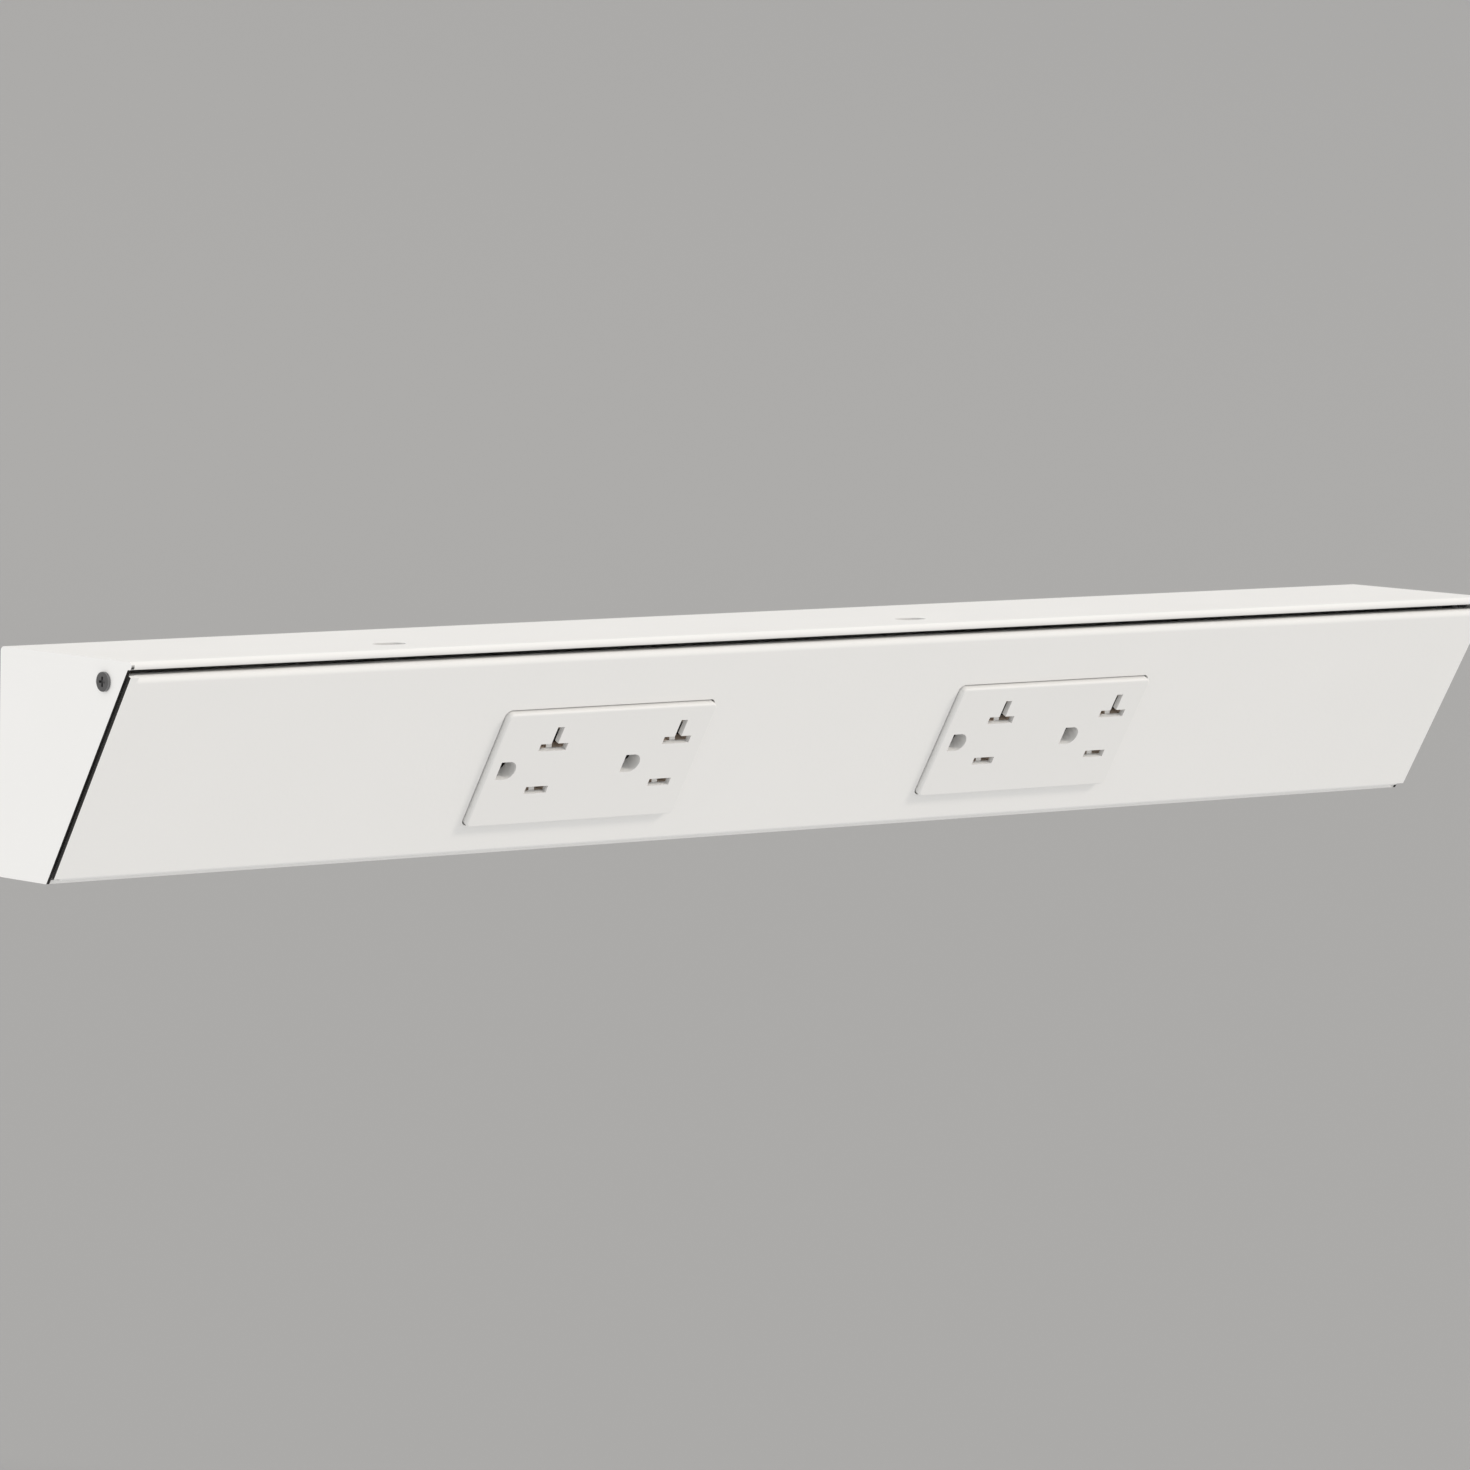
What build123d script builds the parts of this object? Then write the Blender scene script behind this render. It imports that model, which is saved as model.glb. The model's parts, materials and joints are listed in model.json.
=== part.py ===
"""Under-cabinet power strip: a wedge-shaped sheet-metal housing with two duplex receptacles.

X runs along the strip, Y towards the wall and Z up. The origin is the middle of the top plate,
which is screwed to the cabinet. All sizes are in millimetres and angles in degrees.
"""
import os
from math import cos, radians, sin, tan

from build123d import *

# Housing and cover
length = 457.2
depth = 50.8
height = 54.5
sheet = 0.9
slant = 30.0
fold_inside = 0.4
hem_slit = 0.15
hem_length = 6.0
top_gap = 1.35
seat_gap = 0.05
side_gap = 1.9
nose_share = 0.45
cover_top_flange = 7.0
cover_bottom_flange = 9.5
cover_corner = 0.5
fold_notch = 2.4
fold_lap = 4.0
foot_overlap = 6.5

# Cabinet screw slots in the top plate, as seen from the left end
slot_pitch = 170.0
slot_middle = -56.5
slot_inset = 13.5
slot_length = 9.0
slot_width = 4.8

# Knockouts in the back
knockout_diameter = 22.2
knockout_groove = 0.4
knockout_depth = 0.6
knockout_tab = 3.0
knockout_x = 205.0
knockout_drop = 28.0

# Tabs that the end plates are welded to, and tongues that hold the cover's foot
tab_width = 16.0
tab_height = 8.0
tongue_width = 14.0
tongue_pitch = 180.0
tongue_lift = 0.2
tongue_reach = 3.5
tongue_root = 5.0

# Cover screws, brackets and nuts
cover_screw_inset = 10.2
cover_screw_drop = 5.3
cover_screw_diameter = 2.5
cover_screw_length = 6.0
cover_head_diameter = 4.6
cover_head_height = 0.7
cover_hole_clearance = 0.15
bracket_gap = 0.3
bracket_leg = 12.0
bracket_top = 4.5
bracket_height = 20.0
bracket_side = 5.0
bracket_ear = 4.0
bracket_ear_up = 2.6
nut_across = 5.0
nut_height = 2.0
cross_width = 0.6
cross_length = 2.4
cross_depth = 0.5

# Receptacles: places on the cover
receptacle_pitch = 150.5
receptacle_start = 6.79
receptacle_share = 0.45
face_proud = 1.5
window_gap = 0.4

# Receptacle face
face_length = 66.8
face_width = 33.3
face_corner = 1.5
face_edge = 0.5
face_wall = 2.0
face_skin = 1.4
strap_depth = 5.2
deck_depth = 2.5

# Outlets in the face
earth_margin = 5.97
far_margin = 20.98
earth_to_blades = 11.9
blade_half_pitch = 6.35
slot_opening = 2.1
neutral_slot = 8.7
hot_slot = 7.0
stem_length = 4.9
earth_width = 5.2
earth_flat = 2.75
outlet_shift = 6.75

# Shutters and their springs
shutter_travel = 3.0
shutter_clearance = 0.1
shutter_side = 1.1
shutter_window = 0.2
shutter_ramp = 1.4
shutter_tooth = 1.8
shutter_tail = 1.6
spring_wire = 0.3
spring_diameter = 1.4
spring_turns = 6
spring_sides = 8
spring_end_gap = 0.03

# Strap and its fixings
strap_thickness = 1.3
strap_hole_overhang = 16.5
strap_end_overhang = 23.1
ear_width = 19.0
strap_hole_length = 7.0
strap_hole_width = 4.2
strap_window_length = 21.2
strap_window_width = 27.2
standoff_diameter = 6.0
strap_screw_diameter = 3.5
strap_head_diameter = 6.9
strap_head_height = 2.0
strap_screw_length = 5.0
earth_tab_length = 10.0
earth_tab_reach = 4.0
earth_tab_gap = 0.6
earth_screw_inset = 0.5
thread_clearance = 0.02

# Rear body and deck
body_depth = 23.3
body_floor = 2.0
body_chamfer = 1.2
deck_clearance = 0.2
blade_clearance = 0.4

# Contacts
brass = 0.9
clip_slit = 1.3
clip_length = 8.0
clip_height = 12.0
base_inset = 4.8
stem_clip_start = 8.1
earth_strip = 7.6
earth_pin = 5.1
earth_clip_length = 7.0
earth_clip_gap = 4.6
earth_clip_height = 10.0
rivet_diameter = 2.6
terminal_plate_height = 10.5
terminal_plate_length = 44.0

# Terminal screws
terminal_x = 14.0
terminal_depth = 13.5
terminal_window = 13.0
terminal_window_shift = 1.9
terminal_window_height = 8.6
terminal_head_diameter = 7.4
terminal_head_height = 2.0
terminal_screw_diameter = 3.4
terminal_screw_length = 4.0
screw_slot_width = 1.0
screw_slot_depth = 0.8

# Wires
conductor = 1.8
insulated = 2.8
clamp_slack = 0.1
wire_lift = 0.55
wire_bend_share = 0.45
earth_screw_x = -172.0
earth_screw_drop = 26.0
earth_screw_diameter = 4.0
earth_head_diameter = 8.0
earth_head_height = 2.6
ring_diameter = 8.0
ring_thickness = 0.8
barrel_diameter = 4.2
barrel_length = 8.0
connector_length = 20.0
connector_mouth = 9.0
connector_tip = 6.0
connector_grip = 6.0
connector_ribs = 8
connector_rib = 0.8
copper_tip = 3.0
copper_straight = 3.5
copper_step = 5.0
copper_bend = 3.0
jumper_straight = 20.0
jumper_sag = 4.0
jumper_ease = 0.8
earth_straight = 9.0
barrel_grip = 6.5

# Worked out from the sizes above
half_length = length / 2
front = -depth / 2
back = depth / 2
middle = sheet / 2
fold = fold_inside + middle
lean = radians(slant)
hem_thickness = 2 * sheet + hem_slit
cover_drop = hem_thickness + top_gap
cover_foot = -height + sheet + seat_gap
cover_fall = -cover_drop - cover_foot
cover_slope = cover_fall / cos(lean)
foot_front = front + cover_fall * tan(lean)
foot_back = foot_front + cover_bottom_flange
floor_front = foot_back - foot_overlap
inner_x = half_length - sheet
receptacles = {"left": -receptacle_pitch / 2, "right": receptacle_pitch / 2}
receptacle_drop = receptacle_start + receptacle_share * cover_slope
outlet_pitch = face_length - earth_margin - far_margin
strap_hole_pitch = face_length + strap_hole_overhang
strap_length = strap_hole_pitch + strap_end_overhang
earth_x = [-face_length / 2 + earth_margin + k * outlet_pitch for k in (0, 1)]
blade_x = [x + earth_to_blades for x in earth_x]
outlet_x = [x + outlet_shift for x in earth_x]
side_half = face_width / 2
cavity_half = side_half - face_wall
cavity_length = face_length - 2 * face_wall
strap_rear = strap_depth + strap_thickness
floor_depth = body_depth - body_floor
pocket_ceiling = face_skin - face_proud
shutter_top = pocket_ceiling + shutter_clearance
shutter_width = neutral_slot + 2 * shutter_side
shutter_low = -blade_half_pitch - slot_opening / 2 - shutter_tail
clip_middle = (clip_slit + brass) / 2
clamp = conductor + clamp_slack
conductor_v = cavity_half + clamp / 2
conductor_level = terminal_depth + (terminal_screw_diameter + conductor) / 2 + thread_clearance
wire_v = side_half + insulated / 2 + wire_lift
earth_tab_u = -(face_length + earth_tab_length) / 2 - earth_tab_gap
earth_screw_v = -ear_width / 2 + earth_screw_inset
earth_end_u = earth_tab_u - earth_tab_length / 2 - earth_tab_gap
earth_wire_v = earth_screw_v - (terminal_screw_diameter + conductor) / 2 - thread_clearance

face_plane = Plane(
    origin=(0, front, -cover_drop), x_dir=(1, 0, 0), z_dir=(0, -cos(lean), -sin(lean))
)
outward = Axis(face_plane.origin, face_plane.z_dir)
back_plane = Plane(origin=(0, back, 0), x_dir=(1, 0, 0), z_dir=(0, -1, 0))


def behind_cover(z, distance):
    """Y of the line that lies this distance behind the cover's front, at height z."""
    return front + (distance - (z + cover_drop) * sin(lean)) / cos(lean)


def device_plane(x, level=0.0):
    """Plane parallel to the cover, centred on the receptacle at x, level behind the cover's front."""
    origin = face_plane.from_local_coords((x, -receptacle_drop, -level))
    return Plane(origin=origin, x_dir=(1, 0, 0), z_dir=face_plane.z_dir)


def device_point(x, u, v, level):
    """Point u along and v up the receptacle at x, level behind the cover's front."""
    return device_plane(x, level).from_local_coords((u, v, 0))


def side_plane(x, u, v, level, way):
    """Plane across a receptacle at x, facing down its front (way -1) or up it (way 1)."""
    return Plane(
        origin=device_point(x, u, v, level), x_dir=(1, 0, 0), z_dir=face_plane.y_dir * way
    )


def save(piece, name):
    """Labels a finished piece and writes it."""
    piece.part.label = name
    export_step(piece.part, f"parts/{name}.step")


def route_radii(points):
    """Largest arcs that the runs of a wire's route leave room for, one for each corner."""
    radii = []
    for before, corner, after in zip(points, points[1:], points[2:]):
        run_in, run_out = Vector(corner) - Vector(before), Vector(after) - Vector(corner)
        turn = radians(run_in.get_angle(run_out))
        radii.append(wire_bend_share * min(run_in.length, run_out.length) / tan(turn / 2))
    return radii


def wire(points, diameter):
    """Wire of this diameter that follows the points, rounded at its corners."""
    with BuildPart() as piece:
        with BuildLine() as route:
            FilletPolyline(*points, radius=route_radii(points))
        with BuildSketch(Plane(origin=route.line @ 0, z_dir=route.line % 0)):
            Circle(diameter / 2)
        sweep()
    return piece


def outlet_openings(margin=0.0):
    """Blade slots and earth holes of both outlets, drawn in a sketch and widened by a margin."""
    for x, earth_centre in zip(blade_x, earth_x):
        with Locations((x, -blade_half_pitch)):
            Rectangle(hot_slot + 2 * margin, slot_opening + 2 * margin)
        with Locations((x, blade_half_pitch)):
            Rectangle(neutral_slot + 2 * margin, slot_opening + 2 * margin)
        stem_middle = blade_half_pitch + (slot_opening + stem_length) / 2
        with Locations((x, stem_middle)):
            Rectangle(slot_opening + 2 * margin, stem_length + 2 * margin)
        with Locations((earth_centre, 0)):
            Circle(earth_width / 2 + margin)
        with Locations((earth_centre - earth_flat / 2, 0)):
            Rectangle(earth_flat + 2 * margin, earth_width + 2 * margin)


os.makedirs("parts", exist_ok=True)

# Housing: hemmed top, back and bottom, with welding tabs, slots, knockouts and tongues
foot_top = cover_foot + sheet
tongue_level = foot_top + tongue_lift + middle
tongue_back = foot_back + tongue_root
floor_middle = -height + middle
with BuildPart() as housing:
    with BuildSketch(Plane.YZ):
        with BuildLine():
            FilletPolyline(
                (front + hem_length, -1.5 * sheet - hem_slit),
                (front + middle, -1.5 * sheet - hem_slit),
                (front + middle, -middle),
                (back - middle, -middle),
                (back - middle, floor_middle),
                (floor_front, floor_middle),
                radius=[0.49 * (sheet + hem_slit)] * 2 + [fold] * 2,
            )
        trace(line_width=sheet)
    extrude(amount=inner_x, both=True)

    for way in (-1, 1):
        with BuildSketch(Plane.YZ.offset(way * inner_x)):
            with Locations((0, -sheet - tab_height / 2)):
                Rectangle(tab_width, tab_height)
            with Locations((back - sheet - tab_height / 2, -height / 2)):
                Rectangle(tab_height, tab_width)
            with Locations((back - sheet - tab_height / 2, -height + sheet + tab_height / 2)):
                Rectangle(tab_height, tab_height)
        extrude(amount=-way * sheet)

    with BuildSketch(Plane.XY):
        with Locations((slot_middle, front + slot_inset)):
            with GridLocations(slot_pitch, 0, 2, 1):
                SlotOverall(slot_length, slot_width)
    extrude(amount=-sheet, mode=Mode.SUBTRACT)

    with BuildSketch(back_plane):
        with Locations((-knockout_x, -knockout_drop), (knockout_x, -knockout_drop)):
            Circle(knockout_diameter / 2)
            Circle(knockout_diameter / 2 - knockout_groove, mode=Mode.SUBTRACT)
            Rectangle(knockout_tab, knockout_diameter, mode=Mode.SUBTRACT)
    extrude(amount=knockout_depth, mode=Mode.SUBTRACT)

    with BuildSketch(back_plane):
        for x in receptacles.values():
            with Locations((earth_screw_x - receptacles["left"] + x, -earth_screw_drop)):
                Circle(earth_screw_diameter / 2)
    extrude(amount=sheet, mode=Mode.SUBTRACT)

    for k in (-1, 0, 1):
        tongue_plane = Plane.YZ.offset(k * tongue_pitch)
        with BuildSketch(tongue_plane):
            with Locations((foot_back + sheet - tongue_reach / 2, floor_middle)):
                Rectangle(tongue_reach + 2 * sheet, 2 * sheet)
        extrude(amount=tongue_width / 2 + fold_inside, both=True, mode=Mode.SUBTRACT)
        with BuildSketch(tongue_plane):
            with BuildLine():
                FilletPolyline(
                    (tongue_back, floor_middle),
                    (foot_back + 2 * sheet, floor_middle),
                    (foot_back + sheet, tongue_level),
                    (foot_back - tongue_reach, tongue_level),
                    radius=fold,
                )
            trace(line_width=sheet)
        extrude(amount=tongue_width / 2, both=True)
save(housing, "housing")

# End plates: flat plates over the housing's ends, cut back from the cover
screw_y = front + cover_screw_inset
screw_z = -cover_screw_drop
for side, way in (("left", -1), ("right", 1)):
    with BuildPart() as end_plate:
        with BuildSketch(Plane.YZ.offset(way * inner_x)) as outline:
            with BuildLine():
                Polyline(
                    (back, 0),
                    (front, 0),
                    (front, -hem_thickness),
                    (behind_cover(-hem_thickness, side_gap), -hem_thickness),
                    (behind_cover(-height, side_gap), -height),
                    (back, -height),
                    close=True,
                )
            make_face()
            fillet(outline.vertices().group_by(Axis.X)[0], nose_share * hem_thickness)
            fillet(outline.vertices().group_by(Axis.X)[-1], fold_inside + sheet)
            with Locations((screw_y, screw_z)):
                Circle(cover_screw_diameter / 2 + cover_hole_clearance, mode=Mode.SUBTRACT)
        extrude(amount=way * sheet)
    save(end_plate, f"{side}_end_plate")

# Front cover: slanting panel with two windows, folded back along its top and its foot
panel_lift = fold_lap * cos(lean)
panel_run = fold_lap * sin(lean)
with BuildPart() as front_cover:
    with BuildSketch(face_plane):
        with Locations((0, -cover_slope / 2)):
            Rectangle(length, cover_slope - 2 * fold_lap)
        for way in (-1, 1):
            with Locations((way * (half_length - fold_notch / 2), -cover_slope / 2)):
                Rectangle(fold_notch, cover_slope - 2 * cover_corner)
    extrude(amount=-sheet)

    top_corner = (behind_cover(-cover_drop - middle, middle), -cover_drop - middle)
    foot_corner = (behind_cover(cover_foot + middle, middle), cover_foot + middle)
    with BuildSketch(Plane.YZ):
        with BuildLine():
            FilletPolyline(
                (front + cover_top_flange, top_corner[1]),
                top_corner,
                (top_corner[0] + 2 * panel_run, top_corner[1] - 2 * panel_lift),
                radius=fold,
            )
        trace(line_width=sheet)
    with BuildSketch(Plane.YZ):
        with BuildLine():
            FilletPolyline(
                (foot_corner[0] - 2 * panel_run, foot_corner[1] + 2 * panel_lift),
                foot_corner,
                (foot_back, foot_corner[1]),
                radius=fold,
            )
        trace(line_width=sheet)
    extrude(amount=half_length - fold_notch, both=True)

    with BuildSketch(face_plane):
        with Locations(*[(x, -receptacle_drop) for x in receptacles.values()]):
            RectangleRounded(
                face_length + 2 * window_gap,
                face_width + 2 * window_gap,
                face_corner + window_gap,
            )
    extrude(amount=-sheet, mode=Mode.SUBTRACT)
save(front_cover, "front_cover")

# Brackets on the cover's inner side, which the cover screws draw against the end plates
bracket_x = inner_x - bracket_gap - middle
ear_top = screw_z + bracket_ear_up
ear_foot = ear_top - bracket_height / 2
for side, way in (("left", -1), ("right", 1)):
    bracket_start = face_plane.from_local_coords((0, -bracket_top, 0))
    with BuildPart() as bracket:
        with BuildSketch(Plane(bracket_start, x_dir=(1, 0, 0), z_dir=-face_plane.y_dir)):
            with BuildLine():
                FilletPolyline(
                    (way * (bracket_x - bracket_leg), -sheet - middle),
                    (way * bracket_x, -sheet - middle),
                    (way * bracket_x, -sheet - bracket_side),
                    radius=fold,
                )
            trace(line_width=sheet)
        extrude(amount=bracket_height)
        with BuildSketch(Plane.YZ.offset(way * (bracket_x - middle))):
            with BuildLine():
                Polyline(
                    (behind_cover(ear_top, bracket_side), ear_top),
                    (screw_y + bracket_ear, ear_top),
                    (screw_y + bracket_ear, screw_z - bracket_ear),
                    (behind_cover(ear_foot, bracket_side), ear_foot),
                    close=True,
                )
            make_face()
        extrude(amount=way * sheet)
        with BuildSketch(Plane.YZ.offset(way * (bracket_x - middle))):
            with Locations((screw_y, screw_z)):
                Circle(cover_screw_diameter / 2)
        extrude(amount=way * sheet, mode=Mode.SUBTRACT)
    save(bracket, f"{side}_cover_bracket")

with BuildPart() as cover_nuts:
    for way in (-1, 1):
        with BuildSketch(Plane.YZ.offset(way * (bracket_x - middle))):
            with Locations((screw_y, screw_z)):
                RegularPolygon(nut_across / 2, 6, major_radius=False)
                Circle(cover_screw_diameter / 2, mode=Mode.SUBTRACT)
        extrude(amount=-way * nut_height)
save(cover_nuts, "cover_nuts")

with BuildPart() as cover_screws:
    for way in (-1, 1):
        with BuildSketch(Plane.YZ.offset(way * half_length)):
            with Locations((screw_y, screw_z)):
                Circle(cover_head_diameter / 2)
        extrude(amount=way * cover_head_height)
        with BuildSketch(Plane.YZ.offset(way * half_length)):
            with Locations((screw_y, screw_z)):
                Circle(cover_screw_diameter / 2 - thread_clearance)
        extrude(amount=-way * cover_screw_length)
        with BuildSketch(Plane.YZ.offset(way * (half_length + cover_head_height))):
            with Locations((screw_y, screw_z)):
                Rectangle(cross_width, cross_length)
                Rectangle(cross_length, cross_width)
        extrude(amount=-way * cross_depth, mode=Mode.SUBTRACT)
save(cover_screws, "cover_screws")

with BuildPart() as standoffs:
    with BuildSketch(face_plane.offset(-sheet)):
        for x in receptacles.values():
            with Locations((x, -receptacle_drop)):
                with GridLocations(strap_hole_pitch, 0, 2, 1):
                    Circle(standoff_diameter / 2)
                    Circle(strap_screw_diameter / 2, mode=Mode.SUBTRACT)
    extrude(amount=-(strap_depth - sheet))
save(standoffs, "standoffs")

# Receptacles
for side, x in receptacles.items():
    with BuildPart() as face:
        with BuildSketch(device_plane(x, -face_proud)):
            RectangleRounded(face_length, face_width, face_corner)
        extrude(amount=-face_proud - strap_depth)
        fillet(face.faces().sort_by(outward)[-1].edges(), face_edge)
        with BuildSketch(device_plane(x, strap_depth)):
            Rectangle(cavity_length, 2 * cavity_half)
        extrude(amount=strap_depth - deck_depth, mode=Mode.SUBTRACT)
        with BuildSketch(device_plane(x, deck_depth)):
            with Locations(*[(u, 0) for u in blade_x]):
                Rectangle(shutter_width + 2 * shutter_clearance, 2 * cavity_half)
        extrude(amount=deck_depth - pocket_ceiling, mode=Mode.SUBTRACT)
        with BuildSketch(device_plane(x, -face_proud)):
            outlet_openings()
        extrude(amount=-face_proud - deck_depth, mode=Mode.SUBTRACT)
    save(face, f"{side}_face")

    with BuildPart() as deck:
        with BuildSketch(device_plane(x, deck_depth)):
            Rectangle(cavity_length - 2 * deck_clearance, 2 * (cavity_half - deck_clearance))
        extrude(amount=-(strap_depth - deck_depth))
        with BuildSketch(device_plane(x, strap_depth)):
            with Locations(*[(u, 0) for u in outlet_x]):
                Rectangle(
                    strap_window_length - 2 * deck_clearance,
                    strap_window_width - 2 * deck_clearance,
                )
        extrude(amount=-strap_thickness)
        with BuildSketch(device_plane(x, deck_depth)):
            outlet_openings(blade_clearance)
        extrude(amount=-(strap_rear - deck_depth), mode=Mode.SUBTRACT)
    save(deck, f"{side}_deck")

    for k, u in enumerate(blade_x, start=1):
        with BuildPart() as shutter:
            with BuildSketch(device_plane(x, shutter_top)):
                top_v = cavity_half - shutter_clearance
                with Locations((u, (top_v + shutter_low) / 2)):
                    Rectangle(shutter_width, top_v - shutter_low)
                for v, slot in ((-blade_half_pitch, hot_slot), (blade_half_pitch, neutral_slot)):
                    with Locations((u, v + shutter_travel / 2)):
                        Rectangle(
                            slot + 2 * shutter_window,
                            slot_opening + 2 * shutter_window + shutter_travel,
                            mode=Mode.SUBTRACT,
                        )
                with Locations((u, cavity_half)):
                    stem_reach = 2 * (cavity_half - blade_half_pitch - shutter_travel)
                    Rectangle(
                        slot_opening + 2 * shutter_window, stem_reach, mode=Mode.SUBTRACT
                    )
                for v in (-blade_half_pitch, blade_half_pitch):
                    with Locations((u, v - slot_opening / 2 - shutter_window)):
                        Rectangle(
                            shutter_tooth, shutter_travel, align=(Align.CENTER, Align.MIN)
                        )
            extrude(amount=-(deck_depth - shutter_clearance - shutter_top))
            for v in (-blade_half_pitch, blade_half_pitch):
                ramp_foot = v - slot_opening / 2 - shutter_window + shutter_travel
                ramp_top = ramp_foot - shutter_travel + 2 * shutter_window
                ramp_plane = Plane(
                    device_point(x, u, 0, 0), x_dir=face_plane.y_dir, z_dir=(1, 0, 0)
                )
                with BuildSketch(ramp_plane):
                    with BuildLine():
                        Polyline(
                            (ramp_top, -shutter_top),
                            (ramp_foot, -shutter_top),
                            (ramp_foot, -shutter_top - shutter_ramp),
                            close=True,
                        )
                    make_face()
                extrude(amount=shutter_tooth / 2, both=True, mode=Mode.SUBTRACT)
        save(shutter, f"{side}_shutter_{k}")

        spring_seat = shutter_low + cavity_half - spring_wire - 2 * spring_end_gap
        spring_middle = (shutter_top + deck_depth - shutter_clearance) / 2
        with BuildPart() as spring:
            with BuildLine() as coil:
                Helix(
                    pitch=spring_seat / spring_turns,
                    height=spring_seat,
                    radius=(spring_diameter - spring_wire) / 2,
                    center=device_point(
                        x, u, -cavity_half + spring_wire / 2 + spring_end_gap, spring_middle
                    ),
                    direction=face_plane.y_dir,
                )
            with BuildSketch(Plane(coil.line @ 0, z_dir=coil.line % 0)):
                RegularPolygon(spring_wire / 2, spring_sides)
            sweep(path=coil.line, is_frenet=True)
        save(spring, f"{side}_spring_{k}")

    with BuildPart() as strap:
        with BuildSketch(device_plane(x, strap_depth)):
            Rectangle(face_length, face_width)
            Rectangle(strap_length, ear_width)
            with Locations((earth_tab_u, -(ear_width + earth_tab_reach) / 2)):
                Rectangle(earth_tab_length, earth_tab_reach)
            with Locations(*[(u, 0) for u in outlet_x]):
                Rectangle(strap_window_length, strap_window_width, mode=Mode.SUBTRACT)
            with GridLocations(strap_hole_pitch, 0, 2, 1):
                SlotOverall(
                    strap_hole_length, strap_hole_width, rotation=90, mode=Mode.SUBTRACT
                )
            with Locations((earth_tab_u, earth_screw_v)):
                Circle(terminal_screw_diameter / 2, mode=Mode.SUBTRACT)
            with Locations((sum(outlet_x) / 2, 0)):
                Circle(rivet_diameter / 2, mode=Mode.SUBTRACT)
        extrude(amount=-strap_thickness)
    save(strap, f"{side}_strap")

    with BuildPart() as body:
        with BuildSketch(device_plane(x, strap_rear)):
            RectangleRounded(face_length, face_width, face_corner)
        extrude(amount=-(body_depth - strap_rear))
        chamfer(body.faces().sort_by(outward)[0].edges(), body_chamfer)
        with BuildSketch(device_plane(x, strap_rear)):
            Rectangle(cavity_length, 2 * cavity_half)
        extrude(amount=-(floor_depth - strap_rear), mode=Mode.SUBTRACT)
        for way in (-1, 1):
            with BuildSketch(side_plane(x, 0, way * side_half, terminal_depth, way)):
                with GridLocations(2 * (terminal_x + terminal_window_shift), 0, 2, 1):
                    Rectangle(terminal_window, terminal_window_height)
            extrude(amount=-face_wall, mode=Mode.SUBTRACT)
    save(body, f"{side}_body")

    for line, way in (("hot", -1), ("neutral", 1)):
        with BuildPart() as contact:
            with BuildSketch(device_plane(x, floor_depth)):
                base_length = outlet_pitch + clip_length
                base_width = cavity_half - base_inset
                with Locations((sum(blade_x) / 2, way * (base_inset + base_width / 2))):
                    Rectangle(base_length, base_width)
            extrude(amount=brass)
            with BuildSketch(device_plane(x, floor_depth)):
                for u in blade_x:
                    with Locations((u, way * blade_half_pitch)):
                        with GridLocations(0, 2 * clip_middle, 1, 2):
                            Rectangle(clip_length, brass)
                    if line == "neutral":
                        stem_clip = cavity_half - stem_clip_start - brass - clip_slit
                        with Locations((u, stem_clip_start + stem_clip / 2)):
                            with GridLocations(2 * clip_middle, 0, 2, 1):
                                Rectangle(brass, stem_clip)
            extrude(amount=clip_height)
            with BuildSketch(device_plane(x, floor_depth)):
                with Locations((0, way * (cavity_half - brass / 2))):
                    Rectangle(terminal_plate_length, brass)
            extrude(amount=terminal_plate_height)
            with BuildSketch(side_plane(x, 0, way * cavity_half, terminal_depth, way)):
                with GridLocations(2 * terminal_x, 0, 2, 1):
                    Circle(terminal_screw_diameter / 2)
            extrude(amount=-brass, mode=Mode.SUBTRACT)
        save(contact, f"{side}_{line}_contact")

        with BuildPart() as terminal_screws:
            head_plane = side_plane(x, 0, way * (cavity_half + clamp), terminal_depth, way)
            with BuildSketch(head_plane):
                with GridLocations(2 * terminal_x, 0, 2, 1):
                    Circle(terminal_head_diameter / 2)
            extrude(amount=terminal_head_height)
            with BuildSketch(head_plane):
                with GridLocations(2 * terminal_x, 0, 2, 1):
                    Circle(terminal_screw_diameter / 2 - thread_clearance)
            extrude(amount=-terminal_screw_length)
            with BuildSketch(head_plane.offset(terminal_head_height)):
                with GridLocations(2 * terminal_x, 0, 2, 1):
                    Rectangle(terminal_head_diameter, screw_slot_width)
            extrude(amount=-screw_slot_depth, mode=Mode.SUBTRACT)
        save(terminal_screws, f"{side}_{line}_screws")

    with BuildPart() as earth_contact:
        with BuildSketch(device_plane(x, strap_rear)):
            with Locations((sum(earth_x) / 2, 0)):
                Rectangle(outlet_pitch + earth_strip, earth_strip)
            with Locations(*[(u, 0) for u in earth_x]):
                Circle(earth_pin / 2, mode=Mode.SUBTRACT)
        extrude(amount=-brass)
        with BuildSketch(device_plane(x, strap_rear)):
            with Locations(*[(u, 0) for u in earth_x]):
                with GridLocations(0, earth_clip_gap + brass, 1, 2):
                    Rectangle(earth_clip_length, brass)
        extrude(amount=-earth_clip_height)
        with BuildSketch(device_plane(x, strap_rear)):
            with Locations((sum(outlet_x) / 2, 0)):
                Circle(rivet_diameter / 2 - thread_clearance)
        extrude(amount=strap_thickness)
    save(earth_contact, f"{side}_earth_contact")

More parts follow.
